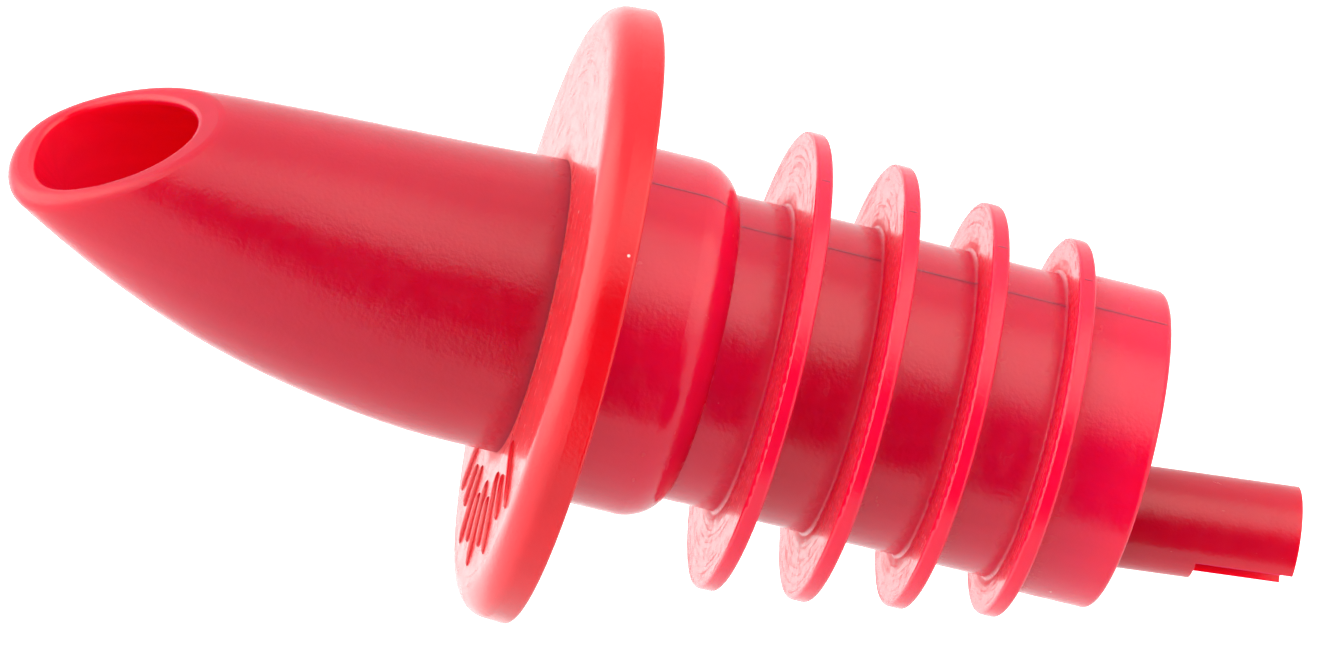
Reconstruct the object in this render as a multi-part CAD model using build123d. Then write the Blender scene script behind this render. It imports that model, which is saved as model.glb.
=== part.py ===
"""Free-flow bottle pourer, upright with its spout upward.

Frame: millimetres, +Z up along the stopper's axis, +X toward the mouth.
The origin is the centre of the collar's underside, which rests on the bottle's lip.
"""
import math
import os

from build123d import *

# collar
COLLAR_RADIUS = 15.8
COLLAR_FACE_RADIUS = 15.65
COLLAR_THICKNESS = 2.55
COLLAR_FRONT_ROUND = 1.45
COLLAR_BACK_ROUND = 0.2
RECESS_DEPTH = 0.4
RECESS_CLEARANCE = 0.05

# spout: height above the collar's underside, front, back and half-width of each
# section, and the thickness of its back wall
SPOUT_SECTIONS = [
    (COLLAR_THICKNESS, 7.50, -7.55, 7.53, 1.30),
    (6.0, 7.28, -7.58, 7.44, 1.25),
    (10.0, 7.10, -7.25, 7.18, 1.25),
    (14.0, 7.00, -6.55, 6.78, 1.25),
    (18.0, 6.88, -5.48, 6.20, 1.30),
    (22.0, 6.68, -3.95, 5.38, 1.40),
    (25.5, 6.45, -2.25, 4.50, 1.60),
    (28.4, 6.20, -0.50, 3.90, 2.00),
    (31.0, 5.90, 1.20, 3.45, 2.30),
]
WALL_FRONT = 1.05
WALL_SIDE = 1.0
MOUTH_POINT = (3.6, 25.40)
MOUTH_TILT = 58.5
LIP_ROUND = 0.7
LIP_INNER_ROUND = 0.3

# stem of the spout, inside the stopper
STEM_RADIUS = 7.0
STEM_BORE_RADIUS = 6.2
STEM_BOTTOM = -27.6
STEM_LEAD = 0.4

# stopper
STOPPER_BORE_RADIUS = STEM_RADIUS + 0.05
STOPPER_BOTTOM = -28.5
SHOULDER_RADIUS = 9.15
SHOULDER_FLAT = -4.0
SHOULDER_END = -6.1
WAIST_RADIUS = 7.85
END_RADIUS = 8.22
END_ROUND = 0.3
FIN_THICKNESS = 0.9
RING_OVERLAP = 0.3
FIN_ROOT_ROUND = 0.2
FIN_RIM_ROUND = 0.2
FINS = [(-8.9, 11.8), (-13.6, 11.25), (-18.45, 10.45), (-23.15, 9.75)]

# vent tube and its socket in the spout
VENT_RADIUS = 2.675
VENT_BORE_RADIUS = 1.75
VENT_OFFSET = 3.42
VENT_AZIMUTH = 210.0
VENT_TOP = 4.0
VENT_BEND_TOP = -26.4
VENT_BEND_RADIUS = 20.0
VENT_TILT = 5.6
VENT_FREE_LENGTH = 9.65
SLOT_WIDTH = 3.3
SLOT_LENGTH = 5.0
SLOT_AZIMUTH = 225.0
BOSS_RADIUS = 3.4
BOSS_BOTTOM = 0.8
BOSS_TOP = 8.6
CHAMBER_TOP = 7.2
AIR_HOLE_RADIUS = 1.25
AIR_HOLE_HEIGHT = 5.5


def section(height, front, back, half_width):
    """One oval section of the spout."""
    place = Plane.XY.offset(height) * Pos((front + back) / 2, 0)
    return place * Ellipse((front - back) / 2, half_width)


def rod(radius, bottom, top, x=0.0, y=0.0):
    """A vertical cylinder between two heights."""
    return Pos(x, y, bottom) * Cylinder(
        radius, top - bottom, align=(Align.CENTER, Align.CENTER, Align.MIN)
    )


def azimuth_vector(angle, length):
    """A horizontal vector at an angle from +X toward +Y."""
    return Vector(
        length * math.cos(math.radians(angle)), length * math.sin(math.radians(angle)), 0
    )


def make_spout():
    """The nozzle with its slanted mouth, its stem and the vent tube's socket."""
    shell = loft([section(h, front, back, side) for h, front, back, side, _ in SPOUT_SECTIONS])
    mouth_plane = Plane(
        origin=(MOUTH_POINT[0], 0, MOUTH_POINT[1]),
        x_dir=(0, 1, 0),
        z_dir=(math.sin(math.radians(MOUTH_TILT)), 0, math.cos(math.radians(MOUTH_TILT))),
    )
    beyond_mouth = mouth_plane * Box(
        60, 60, 30, align=(Align.CENTER, Align.CENTER, Align.MIN)
    )
    shell = shell - beyond_mouth
    lip = shell.faces().sort_by(Axis(mouth_plane.origin, mouth_plane.z_dir))[-1]
    shell = fillet(lip.edges(), LIP_ROUND)

    stem = rod(STEM_RADIUS, STEM_BOTTOM, COLLAR_THICKNESS)
    stem = chamfer(stem.edges().sort_by(Axis.Z)[0], STEM_LEAD)
    outside = shell + stem

    bore_sections = []
    for h, front, back, side, back_wall in SPOUT_SECTIONS:
        bore_sections.append(
            section(h, front - WALL_FRONT, back + back_wall, side - WALL_SIDE)
        )
    passage = loft(bore_sections) + rod(
        STEM_BORE_RADIUS, STEM_BOTTOM - 1, COLLAR_THICKNESS + 0.2
    )
    nozzle = outside - passage
    lip = nozzle.faces().sort_by(Axis(mouth_plane.origin, mouth_plane.z_dir))[-1]
    mouth_edges = lip.edges().sort_by(SortBy.LENGTH)
    nozzle = fillet(mouth_edges[0], LIP_INNER_ROUND)

    vent = azimuth_vector(VENT_AZIMUTH, VENT_OFFSET)
    boss = rod(BOSS_RADIUS, BOSS_BOTTOM, BOSS_TOP, vent.X, vent.Y) & outside
    nozzle = nozzle + boss
    nozzle = nozzle - rod(VENT_RADIUS, BOSS_BOTTOM - 1, VENT_TOP, vent.X, vent.Y)
    nozzle = nozzle - rod(VENT_BORE_RADIUS, VENT_TOP - 0.1, CHAMBER_TOP, vent.X, vent.Y)
    air_hole = Plane(origin=(vent.X, vent.Y, AIR_HOLE_HEIGHT), z_dir=(-1, 0, 0)) * Cylinder(
        AIR_HOLE_RADIUS, 12, align=(Align.CENTER, Align.CENTER, Align.MIN)
    )
    return nozzle - air_hole


def make_collar():
    """The flat disc between the spout and the stopper, recessed for the stopper's head."""
    disc = Cone(
        COLLAR_RADIUS,
        COLLAR_FACE_RADIUS,
        COLLAR_THICKNESS,
        align=(Align.CENTER, Align.CENTER, Align.MIN),
    )
    disc = fillet(disc.edges().sort_by(Axis.Z)[-1], COLLAR_FRONT_ROUND)
    disc = fillet(disc.edges().sort_by(Axis.Z)[0], COLLAR_BACK_ROUND)
    disc = disc - rod(SHOULDER_RADIUS + RECESS_CLEARANCE, -1, RECESS_DEPTH)
    return disc - rod(STEM_RADIUS, -1, COLLAR_THICKNESS + 1)


def make_stopper():
    """The ribbed stopper: a round shoulder, four thin fins and a plain end."""
    drop = SHOULDER_FLAT - SHOULDER_END
    step = SHOULDER_RADIUS - WAIST_RADIUS
    round_radius = (step * step + drop * drop) / (2 * step)
    swing = math.asin(drop / round_radius)
    middle = (
        SHOULDER_RADIUS - round_radius * (1 - math.cos(swing / 2)),
        SHOULDER_FLAT - round_radius * math.sin(swing / 2),
    )
    with BuildSketch(Plane.XZ) as profile:
        with BuildLine():
            Polyline(
                (WAIST_RADIUS, SHOULDER_END),
                (WAIST_RADIUS, STOPPER_BOTTOM),
                (STOPPER_BORE_RADIUS, STOPPER_BOTTOM),
                (STOPPER_BORE_RADIUS, RECESS_DEPTH),
                (SHOULDER_RADIUS, RECESS_DEPTH),
                (SHOULDER_RADIUS, SHOULDER_FLAT),
            )
            ThreePointArc(
                (SHOULDER_RADIUS, SHOULDER_FLAT), middle, (WAIST_RADIUS, SHOULDER_END)
            )
        make_face()
    body = revolve(profile.sketch, Axis.Z)
    inside = WAIST_RADIUS - RING_OVERLAP
    for fin_top, fin_radius in FINS:
        fin_bottom = fin_top - FIN_THICKNESS
        fin = rod(fin_radius, fin_bottom, fin_top)
        fin = fillet(fin.edges().filter_by(GeomType.CIRCLE), FIN_RIM_ROUND)
        body = body + (fin - rod(inside, fin_bottom, fin_top))
    end_top = FINS[-1][0] - FIN_THICKNESS / 2
    end = rod(END_RADIUS, STOPPER_BOTTOM, end_top)
    body = body + (end - rod(inside, STOPPER_BOTTOM, end_top))
    circles = body.edges().filter_by(GeomType.CIRCLE)
    rims = circles.filter_by(lambda e: abs(e.radius - END_RADIUS) < 1e-3)
    body = fillet(rims.sort_by(Axis.Z)[0], END_ROUND)
    circles = body.edges().filter_by(GeomType.CIRCLE)
    waist = circles.filter_by(lambda e: abs(e.radius - WAIST_RADIUS) < 1e-3)
    roots = waist.filter_by(lambda e: e.center().Z < SHOULDER_END - 1)
    return fillet(roots, FIN_ROOT_ROUND)


def make_vent_tube():
    """The vent tube: straight inside the stem, then bent a little inward, slotted."""
    start = azimuth_vector(VENT_AZIMUTH, VENT_OFFSET)
    outward = azimuth_vector(VENT_AZIMUTH, 1)
    tilt = math.radians(VENT_TILT)
    bend_end = (
        VENT_OFFSET - VENT_BEND_RADIUS * (1 - math.cos(tilt)),
        VENT_BEND_TOP - VENT_BEND_RADIUS * math.sin(tilt),
    )
    bend_middle = (
        VENT_OFFSET - VENT_BEND_RADIUS * (1 - math.cos(tilt / 2)),
        VENT_BEND_TOP - VENT_BEND_RADIUS * math.sin(tilt / 2),
    )
    tip = (
        bend_end[0] - VENT_FREE_LENGTH * math.sin(tilt),
        bend_end[1] - VENT_FREE_LENGTH * math.cos(tilt),
    )

    def at(point):
        return outward * point[0] + Vector(0, 0, point[1])

    path = Wire(
        [
            Edge.make_line(start + Vector(0, 0, VENT_TOP), start + Vector(0, 0, VENT_BEND_TOP)),
            Edge.make_three_point_arc(
                start + Vector(0, 0, VENT_BEND_TOP), at(bend_middle), at(bend_end)
            ),
            Edge.make_line(at(bend_end), at(tip)),
        ]
    )
    mouth = Plane(origin=start + Vector(0, 0, VENT_TOP), z_dir=(0, 0, -1))
    tube = sweep(mouth * Circle(VENT_RADIUS), path=path)
    tube = tube - sweep(mouth * Circle(VENT_BORE_RADIUS), path=path)

    tube_up = outward * math.sin(tilt) + Vector(0, 0, math.cos(tilt))
    slot_plane = Plane(origin=at(tip), x_dir=azimuth_vector(SLOT_AZIMUTH, 1), z_dir=tube_up)
    slot = slot_plane * Box(
        2 * VENT_RADIUS,
        SLOT_WIDTH,
        2 * SLOT_LENGTH,
        align=(Align.MIN, Align.CENTER, Align.CENTER),
    )
    return tube - slot


PARTS = {
    "pouring_spout": make_spout,
    "collar_disc": make_collar,
    "ribbed_stopper": make_stopper,
    "vent_tube": make_vent_tube,
}

os.makedirs("parts", exist_ok=True)
for name, make in PARTS.items():
    solid = make()
    export_step(solid, f"parts/{name}.step")
    print(name, round(solid.volume, 1), solid.bounding_box())
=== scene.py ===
"""Looks of the free-flow bottle pourer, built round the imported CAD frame."""

import math

import bmesh
import bpy
from mathutils import Matrix, Vector, noise
from mathutils.bvhtree import BVHTree


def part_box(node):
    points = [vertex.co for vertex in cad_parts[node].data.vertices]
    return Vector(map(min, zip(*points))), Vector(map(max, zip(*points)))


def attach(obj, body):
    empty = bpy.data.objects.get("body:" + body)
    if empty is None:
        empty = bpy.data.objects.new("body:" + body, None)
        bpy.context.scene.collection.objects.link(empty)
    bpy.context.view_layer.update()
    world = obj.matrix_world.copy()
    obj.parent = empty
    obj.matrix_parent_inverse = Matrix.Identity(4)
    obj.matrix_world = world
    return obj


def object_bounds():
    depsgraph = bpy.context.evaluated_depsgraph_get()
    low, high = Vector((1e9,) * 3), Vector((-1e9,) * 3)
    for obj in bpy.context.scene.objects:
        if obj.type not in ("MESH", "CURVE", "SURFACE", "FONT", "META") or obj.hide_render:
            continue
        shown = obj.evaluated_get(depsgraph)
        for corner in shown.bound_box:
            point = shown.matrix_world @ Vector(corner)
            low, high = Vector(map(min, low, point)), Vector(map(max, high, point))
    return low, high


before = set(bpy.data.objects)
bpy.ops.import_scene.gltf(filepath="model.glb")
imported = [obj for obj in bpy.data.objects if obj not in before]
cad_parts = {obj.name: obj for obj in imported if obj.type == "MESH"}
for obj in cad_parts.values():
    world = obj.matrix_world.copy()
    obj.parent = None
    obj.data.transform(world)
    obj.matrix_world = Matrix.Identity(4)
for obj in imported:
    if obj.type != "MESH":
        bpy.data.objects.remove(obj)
cad_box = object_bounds()
scene = bpy.context.scene

SPOUT = "spout"
STOPPER = "stopper"

# ---------------------------------------------------------------- camera
# The stopper's axis falls to the right by AXIS_SLOPE and runs away from the viewer
# by AXIS_DEPTH. The mouth is rolled toward the viewer by MOUTH_ROLL from the top.
AXIS_SLOPE = math.radians(13.7)
AXIS_DEPTH = math.radians(8.15)
MOUTH_ROLL = math.radians(36.8)
CAMERA_DISTANCE = 0.5
# How far the frame's origin lies left of and above the middle of the view
ORIGIN_LEFT = 0.00402
ORIGIN_UP = 0.00033
LENS_MM = 272.7
SENSOR_MM = 36.0
NEAREST_SEEN = 0.01
FARTHEST_SEEN = 20


def view_basis():
    """Columns are the row's X, Y and Z seen by the viewer as right, up and toward."""
    slope_cos, slope_sin = math.cos(AXIS_SLOPE), math.sin(AXIS_SLOPE)
    depth_cos, depth_sin = math.cos(AXIS_DEPTH), math.sin(AXIS_DEPTH)
    down_axis = Vector((depth_cos * slope_cos, -depth_cos * slope_sin, -depth_sin))
    across = Vector((slope_sin, slope_cos, 0))
    toward = Vector((depth_sin * slope_cos, -depth_sin * slope_sin, depth_cos))
    x_row = math.cos(MOUTH_ROLL) * across + math.sin(MOUTH_ROLL) * toward
    y_row = math.sin(MOUTH_ROLL) * across - math.cos(MOUTH_ROLL) * toward
    return Matrix((x_row, y_row, -down_axis)).transposed()


TO_ROW = view_basis().transposed()


def from_view(right, up, toward):
    """A direction or place given as the viewer sees it, in the row frame."""
    return TO_ROW @ Vector((right, up, toward))


def make_camera():
    """The camera at the viewer's place, looking level at the object."""
    data = bpy.data.cameras.new("camera")
    data.lens = LENS_MM
    data.sensor_width = SENSOR_MM
    data.clip_start = NEAREST_SEEN
    data.clip_end = FARTHEST_SEEN
    camera = bpy.data.objects.new("camera", data)
    bpy.context.collection.objects.link(camera)
    place = from_view(ORIGIN_LEFT, -ORIGIN_UP, CAMERA_DISTANCE)
    camera.matrix_world = Matrix.Translation(place) @ TO_ROW.to_4x4()
    bpy.context.scene.camera = camera


make_camera()
scene.view_settings.view_transform = "Standard"
scene.view_settings.look = "None"

# ---------------------------------------------------------------- shader helpers


def add_math(tree, operation, first, second):
    """A Math node of two inputs, each a socket or a number."""
    node = tree.nodes.new("ShaderNodeMath")
    node.operation = operation
    for socket, value in zip(node.inputs, (first, second)):
        if isinstance(value, (int, float)):
            socket.default_value = value
        else:
            tree.links.new(value, socket)
    return node.outputs["Value"]


def add_ramp(tree, value, start, end, low, high):
    """A smooth step from low to high as value goes from start to end."""
    node = tree.nodes.new("ShaderNodeMapRange")
    node.interpolation_type = "SMOOTHSTEP"
    node.inputs["From Min"].default_value = start
    node.inputs["From Max"].default_value = end
    node.inputs["To Min"].default_value = low
    node.inputs["To Max"].default_value = high
    tree.links.new(value, node.inputs["Value"])
    return node.outputs["Result"]


def add_noise(tree, vector, scale, detail=3.0):
    """A noise texture on a vector; its value centres on a half."""
    node = tree.nodes.new("ShaderNodeTexNoise")
    node.inputs["Scale"].default_value = scale
    node.inputs["Detail"].default_value = detail
    tree.links.new(vector, node.inputs["Vector"])
    return node.outputs["Fac"]


def add_scaled(tree, vector, scale):
    """A vector stretched by a different factor along each axis."""
    node = tree.nodes.new("ShaderNodeVectorMath")
    node.operation = "MULTIPLY"
    node.inputs[1].default_value = scale
    tree.links.new(vector, node.inputs[0])
    return node.outputs["Vector"]


def round_the_axis(tree, vector):
    """Radius, angle and height of a point about the stopper's axis, as a vector."""
    parts = tree.nodes.new("ShaderNodeSeparateXYZ")
    tree.links.new(vector, parts.inputs["Vector"])
    x, y, z = parts.outputs
    x_square = add_math(tree, "MULTIPLY", x, x)
    y_square = add_math(tree, "MULTIPLY", y, y)
    radius = add_math(tree, "SQRT", add_math(tree, "ADD", x_square, y_square), 0)
    angle = add_math(tree, "ARCTAN2", y, x)
    joined = tree.nodes.new("ShaderNodeCombineXYZ")
    tree.links.new(radius, joined.inputs["X"])
    tree.links.new(angle, joined.inputs["Y"])
    tree.links.new(z, joined.inputs["Z"])
    return joined.outputs["Vector"]


def mix_colour(tree, factor, first, second):
    """A blend of two colours, each a socket or three numbers."""
    node = tree.nodes.new("ShaderNodeMix")
    node.data_type = "RGBA"
    tree.links.new(factor, node.inputs["Factor"])
    for name, value in (("A", first), ("B", second)):
        if isinstance(value, tuple):
            node.inputs[name].default_value = (*value, 1)
        else:
            tree.links.new(value, node.inputs[name])
    return node.outputs["Result"]


# ---------------------------------------------------------------- stage
# A patch of the surroundings is given as degrees right of the line to the viewer,
# degrees up from it, and the inner and outer angles between which the patch fades.
STUDIO_WHITE = 1.0
LEFT_WALL = (-90, 0, 20, 80)
LEFT_GAIN = 0.85
# Behind the object and a little to the left
BACKDROP_GLOW = (-25, 178, 12, 36)
BACKDROP_GAIN = 0.5
# Each softbox's patch and the brightness that it adds
SOFTBOXES = {
    "upper_left": ((-60, 55, 18, 50), 1.8),
    "upper_right": ((44, 42, 14, 38), 1.5),
    "front_top": ((-14, 36, 8, 32), 0.65),
}
SOFTBOX_TINT = (1.0, 0.97, 0.80)
# The unlit side behind the viewer, which the plastic mirrors as a dark band
UNLIT_SPOTS = [
    (15, -46, 11, 23),
    (13, -20, 11, 24),
    (5, 0, 9, 21),
]

FLOOR_GAP = 0.012
FLOOR_REACH = 6.0
FLOOR_WHITE = (0.9, 0.9, 0.9, 1)
FLOOR_ROUGHNESS = 0.8
FLOOR_GLOW = 0.3


def view_direction(right_degrees, up_degrees):
    """The direction at two angles from the line to the viewer, in the row frame."""
    right, up = math.radians(right_degrees), math.radians(up_degrees)
    toward = math.cos(right) * math.cos(up)
    return from_view(math.sin(right), math.cos(right) * math.sin(up), toward)


def make_world():
    """White studio walls with a glow, three softboxes and an unlit part."""
    world = bpy.data.worlds.new("studio")
    scene.world = world
    world.use_nodes = True
    tree = world.node_tree
    tree.nodes.clear()
    out = tree.nodes.new("ShaderNodeOutputWorld")
    background = tree.nodes.new("ShaderNodeBackground")
    coordinate = tree.nodes.new("ShaderNodeTexCoord")

    def patch(where, outside, inside):
        """One value outside a patch's outer angle, another inside its inner angle."""
        right, up, inner, outer = where
        dot = tree.nodes.new("ShaderNodeVectorMath")
        dot.operation = "DOT_PRODUCT"
        dot.inputs[1].default_value = view_direction(right, up)
        tree.links.new(coordinate.outputs["Generated"], dot.inputs[0])
        start, end = math.cos(math.radians(outer)), math.cos(math.radians(inner))
        return add_ramp(tree, dot.outputs["Value"], start, end, outside, inside)

    walls = patch(LEFT_WALL, STUDIO_WHITE, STUDIO_WHITE + LEFT_GAIN)
    walls = add_math(tree, "ADD", walls, patch(BACKDROP_GLOW, 0, BACKDROP_GAIN))
    boxes = 0
    for where, gain in SOFTBOXES.values():
        boxes = add_math(tree, "ADD", patch(where, 0, gain), boxes)
    shade = 1
    for where in UNLIT_SPOTS:
        shade = add_math(tree, "MULTIPLY", patch(where, 1, 0), shade)
    colour = tree.nodes.new("ShaderNodeCombineColor")
    for socket, tint in zip(colour.inputs, SOFTBOX_TINT):
        tinted = add_math(tree, "MULTIPLY", boxes, tint)
        tree.links.new(add_math(tree, "ADD", walls, tinted), socket)
    tree.links.new(colour.outputs["Color"], background.inputs["Color"])
    # the unlit part shapes the light but is never seen itself
    seen = tree.nodes.new("ShaderNodeLightPath").outputs["Is Camera Ray"]
    tree.links.new(add_math(tree, "MAXIMUM", shade, seen), background.inputs["Strength"])
    tree.links.new(background.outputs["Background"], out.inputs["Surface"])


def make_floor():
    """A large pale floor a little below the vent tube."""
    low = cad_box[0].z - FLOOR_GAP
    mesh = bpy.data.meshes.new("floor")
    corners = []
    for x, y in ((-1, -1), (1, -1), (1, 1), (-1, 1)):
        corners.append((x * FLOOR_REACH, y * FLOOR_REACH, low))
    mesh.from_pydata(corners, [], [(0, 1, 2, 3)])
    floor = bpy.data.objects.new("floor", mesh)
    bpy.context.collection.objects.link(floor)
    # the studio's light comes through it, because the viewer sees the object lying on
    # its side, with the floor beside it
    floor.visible_glossy = False
    floor.visible_diffuse = False
    floor.visible_shadow = False
    material = bpy.data.materials.new("floor_paint")
    material.use_nodes = True
    shader = material.node_tree.nodes["Principled BSDF"]
    shader.inputs["Base Color"].default_value = FLOOR_WHITE
    shader.inputs["Roughness"].default_value = FLOOR_ROUGHNESS
    shader.inputs["Emission Color"].default_value = (1, 1, 1, 1)
    shader.inputs["Emission Strength"].default_value = FLOOR_GLOW
    mesh.materials.append(material)


make_world()
make_floor()

# ---------------------------------------------------------------- materials
# Each CAD node's plastic. grain scales the fine relief, ring_scuffs and scratches the wear,
# the number after them a pale tint on flat faces that is partly scuff haze and partly painted
# sheen, and glow_depth is how far light travels in the plastic, in metres.
PLASTICS = {
    "pouring_spout": {
        "name": "spout_red",
        "red": (0.56, 0.0028, 0.028),
        "roughness": 0.18,
        "grain": 0.6,
        "ring_scuffs": 0.0,
        "scratches": 0.35,
        "scuffs_and_painted_sheen": 0.0,
        "glow_depth": 0.007,
    },
    "collar_disc": {
        "name": "collar_red",
        "red": (0.66, 0.0045, 0.014),
        "roughness": 0.13,
        "grain": 0.5,
        "ring_scuffs": 0.4,
        "scratches": 0.6,
        "scuffs_and_painted_sheen": 0.05,
        "glow_depth": 0.003,
    },
    "ribbed_stopper": {
        "name": "stopper_red",
        # lighter than the spout's red, to offset the shade that its fins cast on the stopper: a
        # painted lift of light
        "red": (0.82, 0.0028, 0.052),
        "roughness": 0.13,
        "grain": 0.5,
        "ring_scuffs": 0.8,
        "scratches": 0.7,
        "scuffs_and_painted_sheen": 0.03,
        "glow_depth": 0.003,
    },
    "vent_tube": {
        "name": "tube_red",
        "red": (0.62, 0.0028, 0.028),
        "roughness": 0.18,
        "grain": 0.6,
        "ring_scuffs": 0.0,
        "scratches": 0.5,
        "scuffs_and_painted_sheen": 0.0,
        "glow_depth": 0.0015,
    },
}
# Where the colour drifts, it is darker by this share
DEEP_SHARE = 0.90
# pale tint of flat faces: partly scuff haze, partly painted sheen where they mirror the bright
# studio at a grazing angle
SCUFF_AND_PAINTED_SHEEN_COLOUR = (0.86, 0.60, 0.60)
SPECK_COLOUR = (0.75, 0.60, 0.58)

# Texture scales are per metre. A polar scale is for radius, angle and height.
DRIFT_SCALE = 120
FLOW_POLAR_SCALE = (60, 5, 25)
RING_POLAR_SCALE = (5200, 2.2, 900)
BLOTCH_SCALE = 2600
MOTTLE_SCALE = 1100
FINE_SCALE = 5200
SCRATCH_SCALE = (6500, 6500, 160)
SCRATCH_TURN = (0.5, 0.35, 0.9)
PATCH_SCALE = 210
# Specks: cells per metre, radius in cells, and the share of the cells that has one
SPECK_SCALE = 420
SPECK_RADIUS = 0.040
SPECK_SHARE = 0.10

# Roughness: its spread in the mottle, and what each kind of wear adds
SMOOTHER = 0.05
ROUGHER = 0.06
WEAR_ROUGHNESS = 0.12
SPECK_ROUGHNESS = 0.3
STREAK_ROUGHNESS = 0.22
CORNER_ROUGHNESS = 0.42
CORNER_REACH = 0.0016
CORNER_SAMPLES = 8

# Relief: shares of its layers, and its height in metres
FINE_SHARE = 0.9
WEAR_SHARE = 0.2
RELIEF_HEIGHT = 0.000024

REFRACTION = 1.5
GLOW_WEIGHT = 0.8
GLOW_RADIUS = (1.0, 0.05, 0.08)


def add_specks(tree, vector):
    """A mask of small round specks, in some of the cells."""
    cells = tree.nodes.new("ShaderNodeTexVoronoi")
    cells.inputs["Scale"].default_value = SPECK_SCALE
    tree.links.new(vector, cells.inputs["Vector"])
    distance = cells.outputs["Distance"]
    near = add_ramp(tree, distance, SPECK_RADIUS, SPECK_RADIUS * 0.6, 0, 1)
    pick = tree.nodes.new("ShaderNodeSeparateXYZ")
    tree.links.new(cells.outputs["Color"], pick.inputs["Vector"])
    chosen = add_math(tree, "LESS_THAN", pick.outputs["X"], SPECK_SHARE)
    return add_math(tree, "MULTIPLY", near, chosen)


def add_flatness(tree, normal):
    """A mask of the faces that lie across the stopper's axis."""
    facing = tree.nodes.new("ShaderNodeSeparateXYZ")
    tree.links.new(normal, facing.inputs["Vector"])
    upright = add_math(tree, "ABSOLUTE", facing.outputs["Z"], 0)
    return add_ramp(tree, upright, 0.93, 0.99, 0, 1)


def add_scratches(tree, vector, strength):
    """A mask of long thin scratches, in patches."""
    tilted = tree.nodes.new("ShaderNodeVectorRotate")
    tilted.rotation_type = "EULER_XYZ"
    tilted.inputs["Rotation"].default_value = SCRATCH_TURN
    tree.links.new(vector, tilted.inputs["Vector"])
    stretched = add_scaled(tree, tilted.outputs["Vector"], SCRATCH_SCALE)
    lines = add_noise(tree, stretched, 1.0, 1)
    patches = add_ramp(tree, add_noise(tree, vector, PATCH_SCALE, 1), 0.52, 0.68, 0, 1)
    return add_math(tree, "MULTIPLY", add_ramp(tree, lines, 0.66, 0.74, 0, strength), patches)


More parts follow.
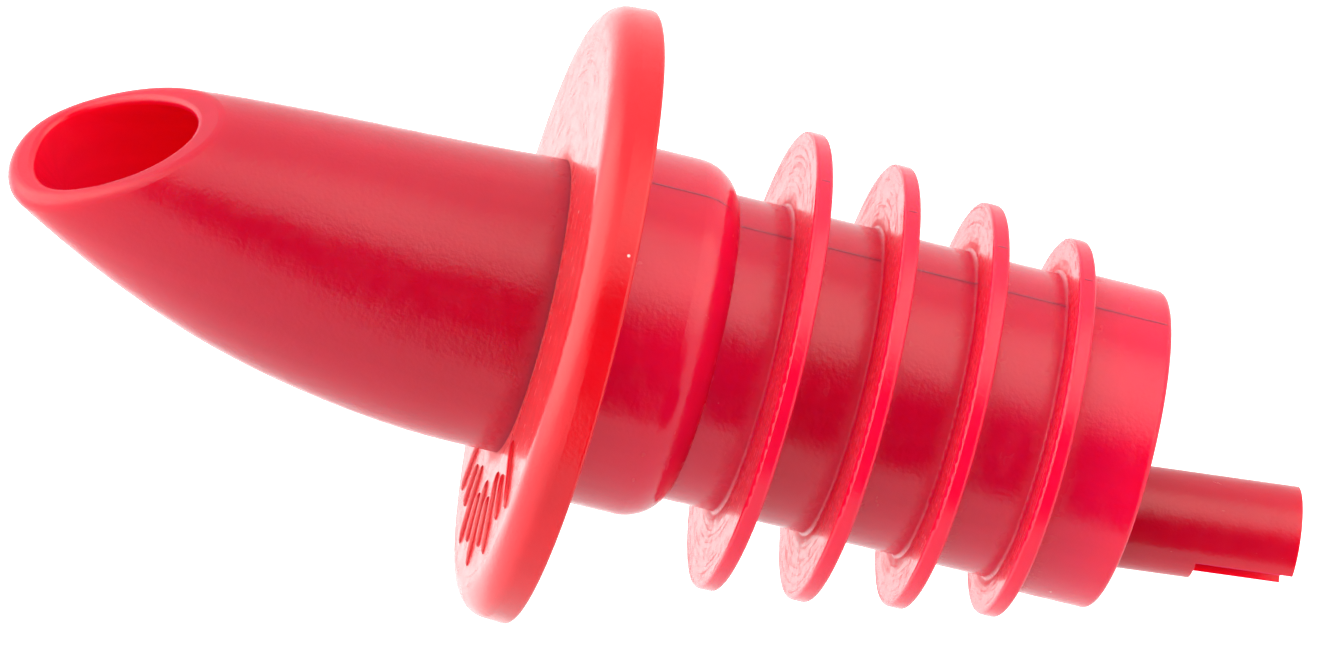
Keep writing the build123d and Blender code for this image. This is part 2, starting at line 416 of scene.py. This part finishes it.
def red_plastic(name, red, roughness, grain, ring_scuffs, scratches, scuffs_and_painted_sheen, glow_depth):
    """Moulded red plastic: colour drift, flow marks, grain, scuffs, scratches, specks, and a
    pale tint on flat faces that is partly scuff haze and partly painted sheen.
    """
    material = bpy.data.materials.new(name)
    material.use_nodes = True
    tree = material.node_tree
    shader = tree.nodes["Principled BSDF"]
    coordinate = tree.nodes.new("ShaderNodeTexCoord")
    place_in = coordinate.outputs["Object"]
    polar = round_the_axis(tree, place_in)

    # masks: flat faces, rings and blotches of wear, specks
    flat = add_flatness(tree, coordinate.outputs["Normal"])
    rings = add_noise(tree, add_scaled(tree, polar, RING_POLAR_SCALE), 1.0, 2)
    worn = add_math(tree, "ADD", rings, add_noise(tree, place_in, BLOTCH_SCALE, 3))
    specks = add_specks(tree, place_in)
    ring_mask = add_math(tree, "MULTIPLY", add_ramp(tree, rings, 0.56, 0.70, 0, 1), ring_scuffs)
    wear = add_math(tree, "MAXIMUM", ring_mask, add_scratches(tree, place_in, scratches))

    # colour: broad drift and flow marks, a pale tint on flat faces that is partly scuff haze
    # and partly painted sheen, pale specks
    drift = add_noise(tree, place_in, DRIFT_SCALE)
    flow = add_noise(tree, add_scaled(tree, polar, FLOW_POLAR_SCALE), 1.0)
    tone = add_math(tree, "MULTIPLY", add_math(tree, "ADD", drift, flow), 0.5)
    deep = tuple(DEEP_SHARE * level for level in red)
    colour = mix_colour(tree, add_ramp(tree, tone, 0.35, 0.65, 0, 1), red, deep)
    # the flat-face tint in streaks: partly scuff haze, partly painted sheen
    streaks = add_ramp(tree, worn, 0.70, 1.30, 0.5 * scuffs_and_painted_sheen, scuffs_and_painted_sheen)
    colour = mix_colour(tree, add_math(tree, "MULTIPLY", flat, streaks), colour, SCUFF_AND_PAINTED_SHEEN_COLOUR)
    colour = mix_colour(tree, specks, colour, SPECK_COLOUR)
    tree.links.new(colour, shader.inputs["Base Color"])

    # roughness: mottle, wear, specks, streaks on flat faces, and close corners and the
    # inside, where the mould isn't polished
    mottle = add_noise(tree, place_in, MOTTLE_SCALE, 2)
    rough = add_ramp(tree, mottle, 0.3, 0.7, roughness - SMOOTHER, roughness + ROUGHER)
    rough = add_math(tree, "ADD", rough, add_math(tree, "MULTIPLY", wear, WEAR_ROUGHNESS))
    rough = add_math(tree, "ADD", rough, add_math(tree, "MULTIPLY", specks, SPECK_ROUGHNESS))
    dull = add_ramp(tree, worn, 0.80, 1.30, 0, STREAK_ROUGHNESS * ring_scuffs)
    rough = add_math(tree, "ADD", rough, add_math(tree, "MULTIPLY", flat, dull))
    corner = tree.nodes.new("ShaderNodeAmbientOcclusion")
    corner.samples = CORNER_SAMPLES
    corner.inputs["Distance"].default_value = CORNER_REACH
    unpolished = add_ramp(tree, corner.outputs["AO"], 0.5, 0.88, CORNER_ROUGHNESS, 0)
    rough = add_math(tree, "ADD", rough, unpolished)
    tree.links.new(rough, shader.inputs["Roughness"])

    # relief: mottle and fine grain, dented by the wear, with the specks standing out
    fine = add_noise(tree, place_in, FINE_SCALE, 2)
    relief = add_math(tree, "ADD", mottle, add_math(tree, "MULTIPLY", fine, FINE_SHARE))
    dents = add_math(tree, "MULTIPLY", wear, WEAR_SHARE)
    relief = add_math(tree, "SUBTRACT", relief, dents)
    relief = add_math(tree, "ADD", relief, specks)
    bump = tree.nodes.new("ShaderNodeBump")
    bump.inputs["Strength"].default_value = grain
    bump.inputs["Distance"].default_value = RELIEF_HEIGHT
    tree.links.new(relief, bump.inputs["Height"])
    tree.links.new(bump.outputs["Normal"], shader.inputs["Normal"])

    shader.inputs["IOR"].default_value = REFRACTION
    shader.inputs["Subsurface Weight"].default_value = GLOW_WEIGHT
    shader.inputs["Subsurface Radius"].default_value = GLOW_RADIUS
    shader.inputs["Subsurface Scale"].default_value = glow_depth
    return material


EDGE_ROUND = 0.00015
EDGE_SEGMENTS = 3
EDGE_ANGLE = math.radians(50)
SHADING_WEIGHT = 100

finishes = {node: red_plastic(**look) for node, look in PLASTICS.items()}
for node, material in finishes.items():
    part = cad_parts[node]
    part.data.materials.clear()
    part.data.materials.append(material)
    if node == "vent_tube":
        edges = part.modifiers.new("worn_edges", "BEVEL")
        edges.width = EDGE_ROUND
        edges.segments = EDGE_SEGMENTS
        edges.limit_method = "ANGLE"
        edges.angle_limit = EDGE_ANGLE
    # shades each vertex by its larger faces, so that fillets don't bend the light on them
    shading = part.modifiers.new("even_shading", "WEIGHTED_NORMAL")
    shading.mode = "FACE_AREA"
    shading.weight = SHADING_WEIGHT
    shading.keep_sharp = True

# ---------------------------------------------------------------- moulding details
# Parting ridges of the stopper: cross-section, spacing of the samples along it, and the
# step in radius that counts as the edge of a fin
RIDGE_WIDTH = 0.00016
RIDGE_HEIGHT = 0.00002
RIDGE_SINK = 0.00001
RIDGE_STEP = 0.00020
RIDGE_MARGIN = 0.0003
RIDGE_WANDER = 900.0
STEP_TO_FIN = 0.00015

# Dashes on the collar: the arc's middle is the collar's lowest side as the viewer sees
# it. Each dash is a low rod of MARK_STATIONS rings of MARK_SIDES corners.
MARK_COUNT = 9
MARK_MIDDLE = 180.0 + math.degrees(MOUTH_ROLL)
MARK_SPREAD = 84.0
MARK_RADIUS = 0.0112
MARK_LENGTHS = (0.0044, 0.0026)
MARK_WIDTH = 0.00050
MARK_HEIGHT = 0.00020
MARK_SIDES = 8
MARK_STATIONS = 9
MARK_TIP = 0.05


def add_piece(name, mesh, body, node, smooth):
    """An object from a finished mesh, in a CAD node's plastic, riding on a body."""
    shape = bmesh.new()
    shape.from_mesh(mesh)
    bmesh.ops.recalc_face_normals(shape, faces=shape.faces)
    for face in shape.faces:
        face.smooth = smooth
    shape.to_mesh(mesh)
    shape.free()
    mesh.materials.append(finishes[node])
    piece = bpy.data.objects.new(name, mesh)
    bpy.context.collection.objects.link(piece)
    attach(piece, body)


def surface_runs(tree, azimuth, low, high, reach):
    """Radii and heights of the outside at one azimuth, split where a fin steps out."""
    outward = Vector((math.cos(azimuth), math.sin(azimuth), 0))
    runs = [[]]
    for index in range(int((high - low) / RIDGE_STEP) + 1):
        z = low + index * RIDGE_STEP
        hit, _, _, _ = tree.ray_cast(outward * reach + Vector((0, 0, z)), -outward)
        radius = hit.dot(outward)
        if runs[-1] and abs(radius - runs[-1][-1][0]) > STEP_TO_FIN:
            runs.append([])
        runs[-1].append((radius, z))
    return [run for run in runs if len(run) > 1]


def make_parting_ridge(name, azimuth):
    """The thin ridge that the mould's joint leaves along one side of the stopper."""
    low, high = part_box("ribbed_stopper")
    depsgraph = bpy.context.evaluated_depsgraph_get()
    tree = BVHTree.FromObject(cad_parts["ribbed_stopper"], depsgraph)
    outward = Vector((math.cos(azimuth), math.sin(azimuth), 0))
    sideways = Vector((-outward.y, outward.x, 0))
    points, faces = [], []
    bottom, top = low[2] + RIDGE_MARGIN, -RIDGE_MARGIN
    for run in surface_runs(tree, azimuth, bottom, top, 2 * high[0]):
        start = len(points)
        for radius, z in run:
            wander = noise.noise(Vector((azimuth, 0, z * RIDGE_WANDER)))
            tall = RIDGE_HEIGHT * (0.75 + 0.5 * wander)
            base = outward * (radius - RIDGE_SINK) + Vector((0, 0, z))
            points.append(base - sideways * RIDGE_WIDTH / 2)
            points.append(base + outward * (RIDGE_SINK + tall))
            points.append(base + sideways * RIDGE_WIDTH / 2)
        for index in range(len(run) - 1):
            here = start + 3 * index
            for side in range(3):
                other = (side + 1) % 3
                faces.append((here + side, here + other, here + other + 3, here + side + 3))
        faces.append((start, start + 2, start + 1))
        end = start + 3 * (len(run) - 1)
        faces.append((end, end + 1, end + 2))
    mesh = bpy.data.meshes.new(name)
    mesh.from_pydata(points, [], faces)
    add_piece(name, mesh, STOPPER, "ribbed_stopper", False)


def dash_points(angle, length, face_height):
    """The corners of one dash, ring by ring from its inner end to its outer end."""
    outward = Vector((math.cos(angle), math.sin(angle), 0))
    sideways = Vector((-outward.y, outward.x, 0))
    points = []
    for station in range(MARK_STATIONS):
        along = -math.cos(math.pi * station / (MARK_STATIONS - 1))
        swell = max(MARK_TIP, (1 - along ** 6)) ** 0.5
        middle = outward * (MARK_RADIUS + along * length / 2) + Vector((0, 0, face_height))
        for side in range(MARK_SIDES):
            turn = 2 * math.pi * side / MARK_SIDES
            across = sideways * (math.cos(turn) * MARK_WIDTH / 2 * swell)
            rise = Vector((0, 0, math.sin(turn) * MARK_HEIGHT * swell))
            points.append(middle + across + rise)
    return points


def dash_faces(start):
    """The faces of one dash whose first corner has the index start."""
    faces = []
    for station in range(MARK_STATIONS - 1):
        here = start + station * MARK_SIDES
        beyond = here + MARK_SIDES
        for side in range(MARK_SIDES):
            other = (side + 1) % MARK_SIDES
            faces.append((here + side, here + other, beyond + other, beyond + side))
    last = start + (MARK_STATIONS - 1) * MARK_SIDES
    faces.append(tuple(range(start + MARK_SIDES - 1, start - 1, -1)))
    faces.append(tuple(range(last, last + MARK_SIDES)))
    return faces


def make_collar_marks():
    """An arc of plain raised dashes on the collar's upper face."""
    face_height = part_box("collar_disc")[1][2]
    points, faces = [], []
    for index in range(MARK_COUNT):
        share = index / (MARK_COUNT - 1) - 0.5
        angle = math.radians(MARK_MIDDLE + share * MARK_SPREAD)
        length = MARK_LENGTHS[index % len(MARK_LENGTHS)]
        faces.extend(dash_faces(len(points)))
        points.extend(dash_points(angle, length, face_height))
    mesh = bpy.data.meshes.new("collar_marks")
    mesh.from_pydata(points, [], faces)
    add_piece("collar_marks", mesh, SPOUT, "collar_disc", True)


make_parting_ridge("parting_ridge_front", 0.0)
make_parting_ridge("parting_ridge_back", math.pi)
make_collar_marks()
